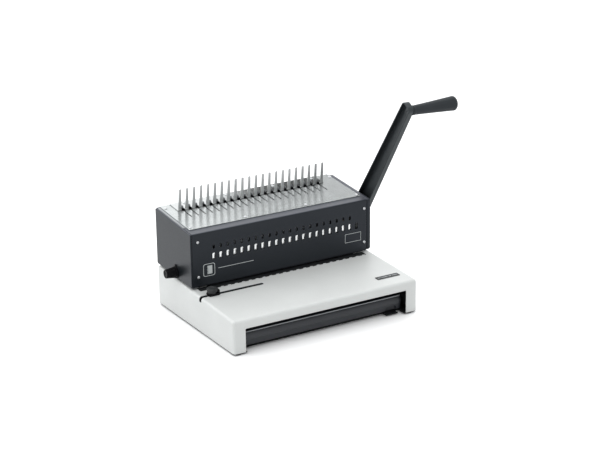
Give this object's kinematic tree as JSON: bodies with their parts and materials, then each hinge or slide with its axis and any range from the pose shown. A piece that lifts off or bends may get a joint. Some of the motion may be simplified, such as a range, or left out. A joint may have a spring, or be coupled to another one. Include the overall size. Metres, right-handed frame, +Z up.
{
  "type": "comb binding machine",
  "caption": "Manual comb binding machine: a side lever punches sheets in a slot under the dark case and moves hooks that open the comb on fixed tines.",
  "frame": {"origin": "on the floor under the feet, in the middle of the whole machine's footprint box", "axes": "+Z up, +Y from the sheet slot towards the back, +X from the margin knob towards the lever grip"},
  "size_m": [0.507, 0.2886, 0.3831],
  "materials": {
    "base_paint": "satin",
    "case_paint": "satin",
    "drawer_plastic": "matte",
    "black_plastic": "matte",
    "grip_plastic": "satin",
    "top_steel": "brushed",
    "bright_steel": "polished",
    "plain_steel": "zinc plated",
    "screw_steel": "plated",
    "bronze": "sintered",
    "rubber": "matte",
    "mark_print": "matte"
  },
  "bodies": {
    "machine": {"base_shell": "base_paint", "bottom_plate": "case_paint", "rubber_feet": "rubber", "foot_screws": "screw_steel", "drawer_rails": "plain_steel", "entry_strip": "case_paint", "base_label_plate": "drawer_plastic", "die_plate": "plain_steel", "riser_blocks": "black_plastic", "riser_screws": "screw_steel", "left_frame": "plain_steel", "right_frame": "plain_steel", "tie_rods": "plain_steel", "frame_screws": "screw_steel", "front_panel": "case_paint", "front_panel_screws": "screw_steel", "left_side_panel": "case_paint", "right_side_panel": "case_paint", "right_cover": "case_paint", "cover_screws": "screw_steel", "rear_cover": "case_paint", "rear_screws": "screw_steel", "top_plate": "top_steel", "top_plate_screws": "screw_steel", "tine_plate": "top_steel", "tine_plate_screws": "screw_steel", "slider_rails": "plain_steel", "pin_guide": "plain_steel", "upper_guide": "plain_steel", "guide_rods": "bright_steel", "return_springs": "plain_steel", "shaft_bushes": "bronze", "knob_collar": "black_plastic", "case_marks": "mark_print"},
    "lever": {"main_shaft": "bright_steel", "punch_cranks": "plain_steel", "opener_arms": "plain_steel", "lever_arm": "case_paint", "lever_bolt": "screw_steel", "grip_collar": "grip_plastic", "grip_bolt": "screw_steel"},
    "grip": {"hand_grip": "grip_plastic"},
    "punch": {"punch_bar": "plain_steel", "punch_pins": "bright_steel"},
    "comb_opener": {"hook_slider": "plain_steel"},
    "margin": {"margin_shaft": "bright_steel", "margin_knob": "black_plastic"},
    "sheet_stop": {"depth_stop": "plain_steel"},
    "guide": {"edge_guide": "black_plastic", "guide_nut": "plain_steel"},
    "clamp_knob": {"thumb_knob": "black_plastic"},
    "drawer": {"drawer_front": "drawer_plastic", "drawer_tray": "plain_steel"}
  },
  "joints": [
    {"name": "lever_pull", "type": "hinge", "parent": "machine", "child": "lever", "pos_m": [-0.0315, 0.06325, 0.125], "axis": [1, 0, 0], "range_deg": [0, 50]},
    {"name": "grip_spin", "type": "hinge", "parent": "lever", "child": "grip", "pos_m": [0.2085, -0.10342, 0.36841], "axis": [1, 0, 0], "continuous": true},
    {"name": "punch_travel", "type": "slide", "parent": "machine", "child": "punch", "axis": [0, 0, -1], "range_m": [0, 0.0152], "deforming": ["return_springs"]},
    {"name": "hook_slide", "type": "slide", "parent": "machine", "child": "comb_opener", "axis": [0, -0.9959, -0.0901], "range_m": [0, 0.0298]},
    {"name": "margin_turn", "type": "hinge", "parent": "machine", "child": "margin", "pos_m": [-0.0515, 0.06725, 0.088], "axis": [1, 0, 0], "range_deg": [-60, 60]},
    {"name": "stop_shift", "type": "slide", "parent": "machine", "child": "sheet_stop", "axis": [0, -1, 0], "range_m": [-0.00199, 0.00199]},
    {"name": "guide_slide", "type": "slide", "parent": "machine", "child": "guide", "axis": [1, 0, 0], "range_m": [-0.012, 0.095]},
    {"name": "clamp_turn", "type": "hinge", "parent": "guide", "child": "clamp_knob", "pos_m": [-0.208, -0.02425, 0.06945], "axis": [0, -0.0454, 0.999], "range_deg": [0, 180]},
    {"name": "drawer_slide", "type": "slide", "parent": "machine", "child": "drawer", "axis": [0, -1, 0], "range_m": [0, 0.16]}
  ],
  "couplings": [
    {"joint": "punch_travel", "follows": "lever_pull", "m_per_rad": 0.017417},
    {"joint": "hook_slide", "follows": "lever_pull", "m_per_rad": 0.03404},
    {"joint": "margin_turn", "follows": "stop_shift", "rad_per_m": 525.76}
  ]
}
